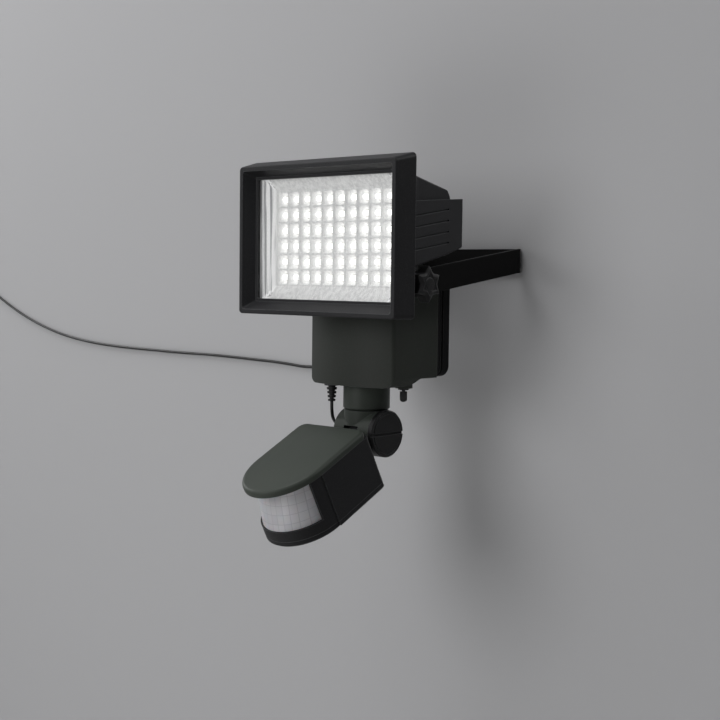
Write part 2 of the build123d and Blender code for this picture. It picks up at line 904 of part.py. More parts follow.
boss_z = floor_z - switch_boss_drop
switch_inside_z = floor_z + switch_seat
lever_pivot_z = boss_z + lever_rise


def switch_body():
    thread_low = boss_z - switch_thread_proud
    body = block(
        switch_x - switch_half_width, switch_x + switch_half_width,
        switch_y - switch_half_depth, switch_y + switch_half_depth,
        switch_inside_z, switch_inside_z + switch_height,
    )
    body += rod_z(switch_thread_radius, thread_low, switch_inside_z, switch_x, switch_y)
    throat = Cone(switch_throat_low, switch_throat_top, switch_throat_length)
    body -= Pos(switch_x, switch_y, lever_pivot_z + 0.5) * throat
    pin_end = switch_thread_radius - touch_gap
    bore = lever_pin_radius + running_gap
    body -= rod_y(bore, switch_y - pin_end, switch_y + pin_end, switch_x, lever_pivot_z)
    return body


def switch_nut():
    outline = RegularPolygon(switch_nut_radius, 6)
    nut = extrude(Pos(switch_x, switch_y, boss_z - switch_nut_height) * outline, switch_nut_height)
    return nut - rod_z(switch_thread_radius, boss_z - 5, boss_z + 5, switch_x, switch_y)


def toggle_lever():
    tip = boss_z - boot_length + boot_wrap
    lever = rod_z(lever_radius, tip, lever_pivot_z + lever_radius, switch_x, switch_y)
    pin_end = switch_thread_radius - touch_gap - running_gap
    return lever + rod_y(lever_pin_radius, switch_y - pin_end, switch_y + pin_end, switch_x, lever_pivot_z)


def toggle_boot():
    top = boss_z - switch_thread_proud - boot_swing_gap
    low = boss_z - boot_length
    boot = rod_z(boot_radius, low, top, switch_x, switch_y)
    boot = fillet(boot.edges().sort_by(Axis.Z)[0], boot_radius * 0.8)
    return boot - rod_z(lever_radius, low + boot_wrap, top + 1, switch_x, switch_y)


def charging_jack():
    low = floor_z - plug_seat
    body = rod_z(jack_radius, low + 1.0, floor_z + jack_height, plug_x, plug_y)
    body += rod_z(jack_radius + jack_flange, low, floor_z, plug_x, plug_y)
    socket_top = floor_z + plug_barrel_length + 1.0
    body -= rod_z(plug_barrel_radius + running_gap, low - 1.0, socket_top, plug_x, plug_y)
    return body


def jack_nut():
    hexagon = Pos(plug_x, plug_y, floor_z + jack_boss_height) * RegularPolygon(jack_nut_radius, 6)
    nut = extrude(hexagon, jack_nut_height)
    return nut - rod_z(jack_radius, floor_z - 1.0, floor_z + jack_height, plug_x, plug_y)


plug_top = floor_z - plug_seat
plug_tip = floor_z - plug_length


def plug_barrel():
    return rod_z(plug_barrel_radius, plug_top, plug_top + plug_barrel_length, plug_x, plug_y)


def strain_relief():
    """The plug's tapered rubber tail, cut by rings of grooves."""
    height = plug_top - plug_tip
    tail = Pos(plug_x, plug_y, (plug_top + plug_tip) / 2) * Cone(plug_tip_radius, plug_top_radius, height)
    pitch = height / plug_ribs
    for rib in range(plug_ribs):
        z = plug_tip + pitch * (rib + 0.7)
        radius = plug_tip_radius + (plug_top_radius - plug_tip_radius) * (z - plug_tip) / height
        ring = rod_z(radius + 1, z - pitch * 0.22, z + pitch * 0.22, plug_x, plug_y)
        ring -= rod_z(radius - plug_rib_depth, z - pitch, z + pitch, plug_x, plug_y)
        tail -= ring
    return tail


keep("switch_body", switch_body())
keep("switch_nut", switch_nut())
keep("toggle_lever", toggle_lever())
keep("toggle_boot", toggle_boot())
keep("charging_jack", charging_jack())
keep("jack_nut", jack_nut())
keep("plug_barrel", plug_barrel())
keep("plug_strain_relief", strain_relief())

# Neck, knuckle and tilt screw

collar_bottom = floor_z - neck_length
hinge_z = collar_bottom - hinge_drop
knuckle_top = collar_bottom - touch_gap
neck_boss_top = floor_z + neck_boss


def neck_collar():
    collar = rod_z(neck_radius, collar_bottom, lamp_z - box_rear_bottom + 0.01, 0, neck_y)
    collar = collar - box_block(0)
    collar = chamfer(collar.edges().sort_by(Axis.Z)[0], neck_chamfer)
    return collar - rod_z(stub_radius, collar_bottom - 1, neck_boss_top, 0, neck_y)


def knuckle():
    barrel = rod_x(neck_radius, -barrel_half, barrel_half, neck_y, hinge_z)
    shoulder = rod_z(neck_radius - neck_chamfer / 2, hinge_z, knuckle_top, 0, neck_y)
    body = barrel + shoulder
    body &= block(-far, far, neck_y - far, neck_y + far, hinge_z - far, knuckle_top)
    slot_top = knuckle_top - fork_bridge
    slot_half = tongue_half + friction_washer + touch_gap
    body -= block(-slot_half, slot_half, neck_y - far, neck_y + far, hinge_z - far, hinge_z + fork_lip)
    body -= rod_x(slot_top - hinge_z, -slot_half, slot_half, neck_y, hinge_z)
    body += rod_z(stub_radius - running_gap, knuckle_top - 1, neck_boss_top + retainer_thickness, 0, neck_y)
    body -= rod_z(wire_bore, hinge_z, neck_boss_top + far, 0, neck_y)
    body -= rod_x(hinge_radius + running_gap, -far, far, neck_y, hinge_z)
    hexagon = RegularPolygon(hinge_nut_width / 2 + 0.1, 6)
    pocket = Plane.YZ.offset(-barrel_half - 1) * (Pos(neck_y, hinge_z) * hexagon)
    body -= extrude(pocket, 1 + hinge_nut_height)
    return body


def neck_retainer():
    ring = rod_z(retainer_radius, neck_boss_top + touch_gap, neck_boss_top + retainer_thickness, 0, neck_y)
    return ring - rod_z(stub_radius, neck_boss_top - 1, neck_boss_top + far, 0, neck_y)


def tilt_screw():
    x0 = barrel_half + touch_gap
    x1 = x0 + disc_thickness
    disc = rod_x(neck_radius, x0, x1, neck_y, hinge_z)
    disc = chamfer(disc.edges().sort_by(Axis.X)[-1], disc_chamfer)
    slot = block(
        x1 - disc_slot_depth, x1 + 1, neck_y - 2 * neck_radius, neck_y + 2 * neck_radius,
        hinge_z - disc_slot_width / 2, hinge_z + disc_slot_width / 2,
    )
    disc -= slot
    groove_outer = neck_radius - disc_ring
    groove = rod_x(groove_outer, x1 - disc_groove, x1 + 1, neck_y, hinge_z)
    groove -= rod_x(groove_outer - disc_groove, x1 - 2, x1 + 2, neck_y, hinge_z)
    disc -= groove
    return disc + rod_x(hinge_radius, hinge_nut_sink - barrel_half, x0, neck_y, hinge_z)


def tilt_nut():
    face = Plane.YZ.offset(-barrel_half) * (Pos(neck_y, hinge_z) * RegularPolygon(hinge_nut_width / 2, 6))
    nut = extrude(face, hinge_nut_height)
    return nut - rod_x(hinge_radius + running_gap, -far, far, neck_y, hinge_z)


def friction_washers():
    washer = rod_x(friction_radius, tongue_half, tongue_half + friction_washer, neck_y, hinge_z)
    washer -= rod_x(hinge_radius + running_gap, -far, far, neck_y, hinge_z)
    return both_sides(washer)


keep("neck_collar", neck_collar())
keep("knuckle", knuckle())
keep("neck_retainer", neck_retainer())
keep("tilt_screw", tilt_screw())
keep("tilt_nut", tilt_nut())
keep("friction_washers", friction_washers())

# Sensor head, drawn level about the hinge and then pitched down

head_half = head_width / 2
sensor_places = Pos(0, neck_y, hinge_z) * Rot(head_pitch, 0, 0)


def head_plan(inset, reach, back_corner, step):
    """The head seen from above: straight sides, a rounded back and half an ellipse in front."""
    side = head_half - inset
    back = -head_back - inset
    front = -head_straight
    corner = max(back_corner - inset, 1.0)
    outline = Line((side, front), (side, back - corner))
    outline += RadiusArc((side, back - corner), (side - corner, back), -corner)
    outline += Line((side - corner, back), (-side + corner, back))
    outline += RadiusArc((-side + corner, back), (-side, back - corner), -corner)
    outline += Line((-side, back - corner), (-side, front))
    if step > 0:
        outline += Line((-side, front), (step - side, front))
        outline += Line((side - step, front), (side, front))
    outline += EllipticalCenterArc((0, front), side - step, reach - inset, 180, arc_size=180)
    return make_face(outline)


def head_slab(inset, reach, back_corner, z0, z1, step=0.0):
    return extrude(Pos(0, 0, z0) * head_plan(inset, reach, back_corner, step), z1 - z0)


def nose(z, reach, side):
    outline = Line((-side, -head_straight), (side, -head_straight))
    outline += EllipticalCenterArc((0, -head_straight), side, reach, 180, arc_size=180)
    return Pos(0, 0, z) * make_face(outline)


def dial_spots():
    return [-dial_spacing, 0, dial_spacing]


def head_screw_spots():
    x = head_half - head_wall - head_post_inset
    return [(sx * x, y) for sx in (-1, 1) for y in (-head_back - head_screw_back, -head_screw_front)]


def sensor_top_cover():
    cover = head_slab(0, visor_reach, cover_corner, cover_bottom, cover_top)
    cover = fillet(cover.faces().sort_by(Axis.Z)[-1].edges(), visor_fillet)
    rim = head_wall + lens_wall + 1.0
    hollow_reach = lens_top_reach - lens_wall - 1.0 + rim
    cover -= head_slab(rim, hollow_reach, cover_corner, cover_bottom - 1, cover_top - head_wall - 1.0)
    return cover


def sensor_body():
    body = head_slab(0, chin_reach, head_corner, body_bottom, cover_bottom, nose_step)
    floor = body_bottom + head_wall
    body -= head_slab(head_wall, chin_reach + nose_thinning, head_corner, floor, cover_bottom + 1, nose_step)
    body -= block(-head_width, head_width, -2 * lens_side, -lens_side, lens_bottom, cover_bottom + 1)
    tongue = rod_x(tongue_radius, -tongue_half, tongue_half, 0, 0)
    tongue += block(-tongue_half, tongue_half, -head_back, 0, -tongue_foot, tongue_crest)
    swell = rod_x(tongue_swell, -tongue_half, tongue_half, 0, 0)
    swell &= block(-tongue_half, tongue_half, -head_back, 0, -tongue_foot, tongue_crest)
    tongue += swell
    tongue = tongue - rod_x(hinge_radius + running_gap, -far, far, 0, 0)
    body += tongue
    for spot in dial_spots():
        body -= rod_z(dial_radius + touch_gap, body_bottom - 1, floor + 1, spot, -dial_forward)
    sill = head_slab(nose_thinning / 2, chin_reach, head_corner, lens_bottom - 2.0, lens_bottom, nose_step)
    sill -= block(-head_width, head_width, -lens_side, 0, -60, 60)
    body += sill
    for x, y in head_screw_spots():
        body += rod_z(head_post_radius, body_bottom, cover_bottom, x, y)
        body -= rod_z(head_screw_radius + 0.1, body_bottom - 1, body_bottom + 14.0, x, y)
    return body


def sensor_bottom_cover():
    cover = head_slab(0, chin_reach, head_corner, head_bottom, body_bottom, nose_step)
    cover = chamfer(cover.faces().sort_by(Axis.Z)[0].edges(), chin_edge)
    floor = head_bottom + head_wall
    cover -= head_slab(head_wall, chin_reach, head_corner, floor, body_bottom + 1, nose_step)
    for spot in dial_spots():
        cover -= rod_z(dial_radius + touch_gap, head_bottom - 1, body_bottom, spot, -dial_forward)
    for x, y in head_screw_spots():
        cover += rod_z(head_post_radius, head_bottom + 2.0, body_bottom, x, y)
        cover -= rod_z(1.4, head_bottom - 1, body_bottom + 1, x, y)
        cover -= rod_z(2.8, head_bottom - 1, head_bottom + 2.0, x, y)
    return cover


def sensor_screws():
    screws = []
    for x, y in head_screw_spots():
        body = rod_z(head_screw_radius, head_bottom + 2.0, body_bottom + 11.0, x, y)
        body += rod_z(head_screw_head, head_bottom + 0.4, head_bottom + 2.0, x, y)
        body -= block(x - 0.35, x + 0.35, y - 9, y + 9, head_bottom - 1, head_bottom + 1.0)
        screws.append(body)
    return screws


def sensor_lens():
    low = lens_bottom
    high = cover_bottom
    side = head_half - nose_step - head_wall - 0.1
    low_reach = chin_reach - head_wall + nose_thinning - touch_gap
    outer = loft([nose(low, low_reach, side), nose(high, lens_top_reach, side)])
    inner = loft([
        nose(low - 0.01, low_reach - lens_wall, side - lens_wall),
        nose(high + 0.01, lens_top_reach - lens_wall, side - lens_wall),
    ])
    return outer - inner


def sensor_board():
    y = -sensor_board_forward
    side = head_half - head_wall - sensor_board_side
    return block(-side, side, y, y + board_thickness, body_bottom + head_wall, cover_bottom + 1.0)


def pyro_can():
    y = -sensor_board_forward
    return rod_y(pir_radius, y - pir_height, y, 0, (lens_bottom + cover_bottom) / 2)


def potentiometers():
    z = body_bottom + head_wall
    half = pot_side / 2
    y0, y1 = -dial_forward - half, -dial_forward + half
    return [block(x - half, x + half, y0, y1, z, z + pot_height) for x in dial_spots()]


def dial(spot):
    low = head_bottom - dial_proud
    top = body_bottom + head_wall - touch_gap
    wheel = rod_z(dial_radius, low, top, spot, -dial_forward)
    wheel = chamfer(wheel.edges().sort_by(Axis.Z)[0], dial_chamfer)
    half = dial_slot / 2
    y0, y1 = -dial_forward - 2 * dial_radius, -dial_forward + 2 * dial_radius
    return wheel - block(spot - half, spot + half, y0, y1, low - 1, low + dial_slot)


def pitched(shape):
    if isinstance(shape, list):
        return [sensor_places * item for item in shape]
    return sensor_places * shape


keep("sensor_top_cover", pitched(sensor_top_cover()))
keep("sensor_body", pitched(sensor_body()))
keep("sensor_bottom_cover", pitched(sensor_bottom_cover()))
keep("sensor_screws", pitched(sensor_screws()))
keep("sensor_lens", pitched(sensor_lens()))
keep("sensor_board", pitched(sensor_board()))
keep("pyro_sensor", pitched(pyro_can()))
keep("potentiometers", pitched(potentiometers()))
keep("time_dial", pitched(dial(-dial_spacing)))
keep("light_dial", pitched(dial(0)))
keep("range_dial", pitched(dial(dial_spacing)))

# Cord: from the plug round the knuckle and up behind the box, a coil of spare length hung on
# the bracket's left arm, and a run along the wall to the left

wall_line = -cord_radius - 0.1
coil_outer = coil_mid_radius + coil_step * (coil_turns - 1) / 2
coil_inner = coil_mid_radius - coil_step * (coil_turns - 1) / 2
coil_x = -arm_x + strip_thickness / 2
coil_z = strip_width / 2 - coil_inner + cord_radius + touch_gap
coil_start = (coil_x + coil_outer, -coil_wall_gap - coil_layer_step * (coil_layers - 1), coil_z)


def coil_points():
    """Where the coil crosses its level line, half a turn apart, with its radius going in and out."""
    halves = 2 * coil_turns - 2
    step = (coil_outer - coil_inner) / halves
    radii = []
    depths = []
    for layer in range(coil_layers):
        for half in range(halves + 1):
            inwards = layer % 2 == 0
            radii.append(coil_outer - step * half if inwards else coil_inner + step * half)
            depths.append(coil_start[1] + coil_layer_step * layer)
    radii.append(coil_outer)
    depths.append(depths[-1])
    points = []
    for number, (radius, depth) in enumerate(zip(radii, depths)):
        side = 1 if number % 2 == 0 else -1
        points.append((coil_x + side * radius, depth, coil_z))
    if len(points) % 2 == 1:
        points.pop()
    return points


def coil_path():
    points = coil_points()
    arcs = []
    for number in range(len(points) - 1):
        a = Vector(points[number])
        b = Vector(points[number + 1])
        up = 1 if number % 2 == 0 else -1
        middle = (a + b) / 2 + Vector(0, 0, up * (b - a).length / 2)
        arcs.append(ThreePointArc(a, middle, b))
    lead_in = Line(Vector(points[0]) - Vector(0, 0, cord_diameter), points[0])
    last = Vector(points[-1])
    lead_out = Line(last, last - Vector(0, 0, cord_diameter))
    return [lead_in] + arcs + [lead_out]


coil_end = (coil_points()[-1][0], coil_points()[-1][1], coil_z - cord_diameter)
coil_begin = (coil_start[0], coil_start[1], coil_z - cord_diameter)

plug_run = [
    (plug_x, plug_y, plug_tip),
    (plug_x, plug_y, -137.5),
    (-28.0, -133.0, -146.5),
    (-32.8, -121.5, -152.5),
    (-32.8, -106.5, -154.5),
    (-31.0, -91.0, -151.5),
    (-38.0, -77.0, -142.0),
    (-48.0, -64.5, -126.0),
    (-56.0, -53.5, -104.5),
    (-61.0, -43.5, -81.5),
    (-63.0, -34.5, -59.5),
    (-61.0, -26.5, -42.0),
    (coil_begin[0], coil_begin[1], -26.0),
    coil_begin,
]

wall_run = [
    coil_end,
    (coil_end[0], coil_end[1], -22.5),
    (-112.5, -5.0, -43.0),
    (-120.5, wall_line, -66.0),
    (-134.0, wall_line, -89.0),
    (-156.0, wall_line, -107.0),
    (-189.0, wall_line, -114.6),
    (-237.0, wall_line, -110.8),
    (-291.0, wall_line, -109.6),
    (-346.0, wall_line, -108.2),
    (-402.0, wall_line, -108.6),
    (-459.0, wall_line, -108.0),
    (-515.0, wall_line, -107.3),
    (-567.0, wall_line, -105.4),
    (-612.0, wall_line, -101.7),
    (-656.0, wall_line, -95.6),
    (-700.0, wall_line, -86.0),
    (-744.0, wall_line, -73.2),
    (-784.0, wall_line, -57.8),
    (-812.0, wall_line, -45.6),
    (-838.0, wall_line, -35.8),
    (-856.0, -3.4, -30.4),
    (-868.0, -5.2, -27.6),
]
clip_run = -4


def bend_radii(points):
    radii = []
    for a, b, c in zip(points, points[1:], points[2:]):
        first = Vector(b) - Vector(a)
        second = Vector(c) - Vector(b)
        turn = math.radians(first.get_angle(second))
        radii.append(0.45 * min(first.length, second.length) / math.tan(turn / 2))
    return radii


def cord_path(points):
    return FilletPolyline(*points, radius=bend_radii(points))


def cord_tube(path, name):
    tube = sweep(Plane(path @ 0, z_dir=path % 0) * Circle(cord_radius), path)
    expected = math.pi * cord_radius ** 2 * path.length
    print(name, "length", round(path.length, 1), "volume over expected", round(tube.volume / expected, 4))
    return tube


def coil_gap():
    """The least distance between the coil's surfaces of neighbouring turns, on points along it."""
    samples = []
    travelled = 0
    for arc in coil_path():
        for k in range(24):
            point = arc @ (k / 24)
            samples.append((travelled + arc.length * k / 24, point.X, point.Y, point.Z))
        travelled += arc.length
    least = 1e9
    for number, (place, *point) in enumerate(samples):
        for other, *far in samples[number + 1:]:
            if other - place > 5 * cord_diameter:
                least = min(least, math.dist(point, far))
    return least - cord_diameter


run_path = cord_path(plug_run)
wall_path = cord_path(wall_run)
coil_wire = Wire(coil_path())
print("plug run radii", [round(r, 1) for r in bend_radii(plug_run)])
print("wall run radii", [round(r, 1) for r in bend_radii(wall_run)])
print("coil turns", (len(coil_points()) - 1) / 2, "least gap", round(coil_gap(), 2))
print("cord length in all", round(run_path.length + coil_wire.length + wall_path.length, 0))

keep("cord_plug_run", cord_tube(run_path, "plug run"))
keep("cord_coil", cord_tube(coil_wire, "coil"))
keep("cord_wall_run", cord_tube(wall_path, "wall run"))


def coil_tie():
    """A flat strap round all the turns at the foot of the coil."""
    height = coil_outer - coil_inner + cord_diameter + 2 * touch_gap
    depth = coil_layer_step * (coil_layers - 1) + cord_diameter + 2 * touch_gap
    y = coil_start[1] + coil_layer_step * (coil_layers - 1) / 2
    z = coil_z - coil_mid_radius
    strap = Plane.YZ.offset(coil_x - tie_width / 2) * (
        Pos(y, z) * RectangleRounded(depth + 2 * tie_thickness, height + 2 * tie_thickness, 2.0)
        - Pos(y, z) * RectangleRounded(depth, height, 1.2)
    )
    return extrude(strap, tie_width)


def along_end():
    last = Vector(wall_run[-1])
    return Plane(last, z_dir=(last - Vector(wall_run[-2])).normalized())


def line_connector():
    body = along_end() * Pos(0, 0, connector_length / 2 + 8.0)
    shell = body * Cylinder(connector_radius, connector_length)
    tail = along_end() * Pos(0, 0, 4.0) * Cone(cord_radius + 1.0, connector_radius - 0.8, 8.0)
    mouth = along_end() * Pos(0, 0, connector_length + 8.0 - 4.5) * Cylinder(2.8, 9.02)
    return shell + tail - mouth


def cable_clip():
    """A stick-on saddle that holds the cord to the wall just before its end."""
    first = Vector(wall_run[clip_run])
    last = Vector(wall_run[clip_run + 1])
    middle = (first + last) / 2
    along = (last - first).normalized()
    out = cord_diameter + clip_wall
    place = Plane((middle.X, 0, middle.Z), x_dir=along, z_dir=(0, -1, 0))
    saddle = extrude(place * RectangleRounded(clip_length, clip_width, 1.0), out)
    saddle = fillet(saddle.faces().sort_by(Axis.Y)[0].edges(), 0.8)
    channel = cord_radius + touch_gap / 2
    groove = Plane(middle, z_dir=along) * Cylinder(channel, 2 * clip_length)
    mouth = extrude(place * Rectangle(2 * clip_length, 2 * channel), -wall_line)
    return saddle - groove - mouth


keep("coil_tie", coil_tie())
keep("line_connector", line_connector())
keep("cable_clip", cable_clip())

for name, shape in made.items():
    shape.label = name
    export_step(shape, "parts/" + name + ".step")

print(len(made), "nodes")
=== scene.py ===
import math
import bmesh
import bpy
from mathutils import Matrix, Vector


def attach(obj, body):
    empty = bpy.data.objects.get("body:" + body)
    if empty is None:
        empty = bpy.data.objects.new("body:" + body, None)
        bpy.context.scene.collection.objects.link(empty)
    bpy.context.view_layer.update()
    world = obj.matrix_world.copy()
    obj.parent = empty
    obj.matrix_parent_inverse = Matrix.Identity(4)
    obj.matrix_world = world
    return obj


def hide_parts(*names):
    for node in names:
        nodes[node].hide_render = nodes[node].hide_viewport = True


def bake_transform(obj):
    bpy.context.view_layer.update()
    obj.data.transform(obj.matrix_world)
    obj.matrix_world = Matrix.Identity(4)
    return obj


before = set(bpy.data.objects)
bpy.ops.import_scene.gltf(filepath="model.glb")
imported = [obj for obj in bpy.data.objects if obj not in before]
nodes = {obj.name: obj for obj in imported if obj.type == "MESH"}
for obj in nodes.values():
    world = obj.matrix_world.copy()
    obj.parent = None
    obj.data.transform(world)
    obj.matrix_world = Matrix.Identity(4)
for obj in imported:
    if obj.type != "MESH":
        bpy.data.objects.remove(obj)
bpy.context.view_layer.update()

# A solar floodlight on a wall bracket, with a hinged motion sensor and a thin lead to its panel.

MM = 0.001


# Camera

IMAGE_SIDE = 720
FOCAL_PIXELS = 1342.7
SENSOR_MM = 36.0
CAMERA_PLACE = (0.8258, -1.0071, -0.0125)
CAMERA_TURN = math.radians(43.2)
CAMERA_DIP = math.radians(3.715)
CAMERA_ROLL = math.radians(0.643)


def make_camera():
    """The photograph's own viewpoint: right of the lamp, level with it, looking a little down."""
    forward = Vector((
        -math.sin(CAMERA_TURN) * math.cos(CAMERA_DIP),
        math.cos(CAMERA_TURN) * math.cos(CAMERA_DIP),
        -math.sin(CAMERA_DIP),
    ))
    right = Vector((math.cos(CAMERA_TURN), math.sin(CAMERA_TURN), 0))
    up = right.cross(forward)
    side = right * math.cos(CAMERA_ROLL) + up * math.sin(CAMERA_ROLL)
    top = up * math.cos(CAMERA_ROLL) - right * math.sin(CAMERA_ROLL)
    data = bpy.data.cameras.new("camera")
    data.sensor_width = SENSOR_MM
    data.lens = FOCAL_PIXELS * SENSOR_MM / IMAGE_SIDE
    data.clip_start = 0.05
    data.clip_end = 50
    camera = bpy.data.objects.new("camera", data)
    turn = Matrix((side, top, -forward)).transposed().to_4x4()
    camera.matrix_world = Matrix.Translation(CAMERA_PLACE) @ turn
    bpy.context.scene.collection.objects.link(camera)
    bpy.context.scene.camera = camera


make_camera()


# Materials

def linear(hex_value):
    """An sRGB hex colour as the linear values that a shader socket takes."""
    parts = [int(hex_value[i:i + 2], 16) / 255 for i in (1, 3, 5)]
    turned = [c / 12.92 if c <= 0.04045 else ((c + 0.055) / 1.055) ** 2.4 for c in parts]
    return (*turned, 1.0)


def new_material(name):
    material = bpy.data.materials.new(name)
    material.use_nodes = True
    shader = material.node_tree.nodes["Principled BSDF"]
    return material, shader


def add(material, kind, links=(), **settings):
    """Adds a node with its settings. A link is (output, input) with one end given as its socket."""
    node = material.node_tree.nodes.new(kind)
    for key, value in settings.items():
        if key.startswith("in_"):
            place = key[3:]
            node.inputs[int(place) if place.isdigit() else place.replace("_", " ")].default_value = value
        else:
            setattr(node, key, value)
    for source, target in links:
        start = source if not isinstance(source, (int, str)) else node.outputs[source]
        end = target if not isinstance(target, (int, str)) else node.inputs[target]
        material.node_tree.links.new(start, end)
    return node


def set_shader(shader, **values):
    for key, value in values.items():
        shader.inputs[key.replace("_", " ")].default_value = value


def per_mm(size_mm):
    """A noise scale whose grain is that many millimetres wide, on Object coordinates in metres."""
    return 1 / (size_mm * MM)


def ramp(material, factor, stops):
    node = add(material, "ShaderNodeValToRGB", [(factor, "Fac")])
    elements = node.color_ramp.elements
    while len(elements) < len(stops):
        elements.new(0.5)
    for element, (place, colour) in zip(elements, stops):
        element.position = place
        element.color = colour
    return node


def joined(material, node, output, target_node, target):
    material.node_tree.links.new(node.outputs[output], target_node.inputs[target])


def grey(value):
    return (value, value, value, 1.0)


def soft_edge(material, radius_mm):
    """The small round that a mould or a press leaves on each edge, where it catches the light."""
    return add(material, "ShaderNodeBevel", samples=6, in_Radius=radius_mm * MM)


def painted_edge_highlight(material, radius_mm):
    """Painted highlight on the edges: the nearer to an edge, the more of a lighter colour, up to half."""
    edge = soft_edge(material, radius_mm)
    flat = add(material, "ShaderNodeNewGeometry")
    same = add(material, "ShaderNodeVectorMath", [(edge.outputs[0], 0), (flat.outputs["Normal"], 1)],
               operation="DOT_PRODUCT")
    return add(material, "ShaderNodeMapRange", [(same.outputs["Value"], "Value")],
               in_From_Min=1.0, in_From_Max=0.86, in_To_Min=0.0, in_To_Max=0.5)


ABS_EDGE_MM = 0.6
WEATHER_MM = 55.0
DUST_COLOUR = "#8d8f8c"


# The last colour argument is the painted highlight that is laid along every edge.
def etched_abs(name, base, light, grain_mm=0.9, roughness=0.5, bump_mm=0.03, dust=0.04,
               edge_highlight_colour="#77787a", gloss=0.2):
    """Dark ABS moulded in an etched tool: a fine even grain that breaks up the sheen, pale dust in
    the grain's low places, slow changes of tone where the weather has dulled it, and a painted highlight
    along its edges."""
    material, shader = new_material(name)
    where = add(material, "ShaderNodeTexCoord")
    spot = where.outputs["Object"]
    grain = add(material, "ShaderNodeTexNoise", [(spot, "Vector")], in_Scale=per_mm(grain_mm), in_Detail=3.0)
    weather = add(material, "ShaderNodeTexNoise", [(spot, "Vector")],
                  in_Scale=per_mm(WEATHER_MM), in_Detail=4.0, in_Roughness=0.55)
    tone = ramp(material, weather.outputs["Fac"], [(0.30, linear(base)), (0.75, linear(light))])
    dusty = ramp(material, grain.outputs["Fac"], [(0.52, grey(0.0)), (0.72, grey(dust))])
    dusted = add(material, "ShaderNodeMix", data_type="RGBA")
    joined(material, dusty, "Color", dusted, 0)
    joined(material, tone, "Color", dusted, 6)
    dusted.inputs[7].default_value = linear(DUST_COLOUR)
    # Painted highlight: a lighter colour along every edge, standing in for the light that the rounded edges
    # catch.
    edge_highlighted = add(material, "ShaderNodeMix", data_type="RGBA")
    joined(material, painted_edge_highlight(material, ABS_EDGE_MM), 0, edge_highlighted, 0)
    joined(material, dusted, 2, edge_highlighted, 6)
    edge_highlighted.inputs[7].default_value = linear(edge_highlight_colour)
    joined(material, edge_highlighted, 2, shader, "Base Color")
    dull = ramp(material, weather.outputs["Fac"],
                [(0.25, grey(roughness - 0.06)), (0.8, grey(roughness + 0.08))])
    joined(material, dull, "Color", shader, "Roughness")
    edge = soft_edge(material, ABS_EDGE_MM)
    add(material, "ShaderNodeBump",
        [(grain.outputs["Fac"], "Height"), (edge.outputs[0], "Normal"), ("Normal", shader.inputs["Normal"])],
        in_Strength=0.3, in_Distance=bump_mm * MM)
    set_shader(shader, IOR=1.50, Specular_IOR_Level=gloss)
    return material


PLAIN_GRAIN_MM = 0.6
PLAIN_BUMP_MM = 0.01
PLAIN_EDGE_MM = 0.25
CLOUD_MM = 14.0
CLOUD_SHADE = 0.86
GLOSS_SPREAD = 0.06


def plain(name, colour, roughness, metallic=0.0):
    """A smooth part with a faint grain, soft edges and a little change of tone and gloss."""
    material, shader = new_material(name)
    where = add(material, "ShaderNodeTexCoord")
    grain = add(material, "ShaderNodeTexNoise", [(where.outputs["Object"], "Vector")],
                in_Scale=per_mm(PLAIN_GRAIN_MM), in_Detail=2.0)
    cloud = add(material, "ShaderNodeTexNoise", [(where.outputs["Object"], "Vector")],
                in_Scale=per_mm(CLOUD_MM), in_Detail=3.0)
    full = linear(colour)
    shaded = (*(c * CLOUD_SHADE for c in full[:3]), 1.0)
    tone = ramp(material, cloud.outputs["Fac"], [(0.35, shaded), (0.65, full)])
    joined(material, tone, "Color", shader, "Base Color")
    gloss = ramp(material, grain.outputs["Fac"],
                 [(0.3, grey(roughness - GLOSS_SPREAD)), (0.7, grey(roughness + GLOSS_SPREAD))])
    joined(material, gloss, "Color", shader, "Roughness")
    edge = soft_edge(material, PLAIN_EDGE_MM)
    add(material, "ShaderNodeBump",
        [(grain.outputs["Fac"], "Height"), (edge.outputs[0], "Normal"), ("Normal", shader.inputs["Normal"])],
        in_Strength=0.2, in_Distance=PLAIN_BUMP_MM * MM)
    set_shader(shader, Metallic=metallic)
    if metallic == 0.0:
        set_shader(shader, IOR=1.5)
    return material


# Moulded ABS cases: matt, near black, a shade greener on the box and on the sensor's top.
housing_abs = etched_abs("etched_abs_housing", "#29292b", "#333335")
box_abs = etched_abs("etched_abs_box", "#292c28", "#313430")
cover_abs = etched_abs("etched_abs_cover", "#0d0d0e", "#111112", dust=0.01, gloss=0.08)
# The bezel's painted edge highlight is the palest, so that its rims and mitres show light lines.
bezel_abs = etched_abs("etched_abs_bezel", "#1b1b1d", "#232325", grain_mm=1.1, edge_highlight_colour="#8b8c8e")
sensor_abs = etched_abs("etched_abs_sensor", "#383d38", "#3f443e", grain_mm=0.8, roughness=0.44)
lower_abs = etched_abs("etched_abs_sensor_body", "#19191b", "#1f1f21", grain_mm=0.8)
# Powder coat: the blackest surface, with a fine orange-peel grain, almost no sheen and a dim painted
# highlight on its edges.
powder_coat = etched_abs("powder_coated_steel_black", "#040404", "#080808", grain_mm=0.5, roughness=0.6,
                         bump_mm=0.02, dust=0.01, edge_highlight_colour="#48484a", gloss=0.08)
# Nylon that hands turn: a coarser grain with a little more shine.
knob_nylon = etched_abs("moulded_nylon_knob", "#19191a", "#212122", grain_mm=1.2, roughness=0.42)
# Fasteners and contacts: bare metals with soft reflections.
blackened_steel = plain("blackened_steel", "#131314", 0.45)
zinc_steel = plain("zinc_plated_steel", "#b9bbbd", 0.32, metallic=1.0)
turned_brass = plain("turned_brass", "#b89552", 0.34, metallic=1.0)
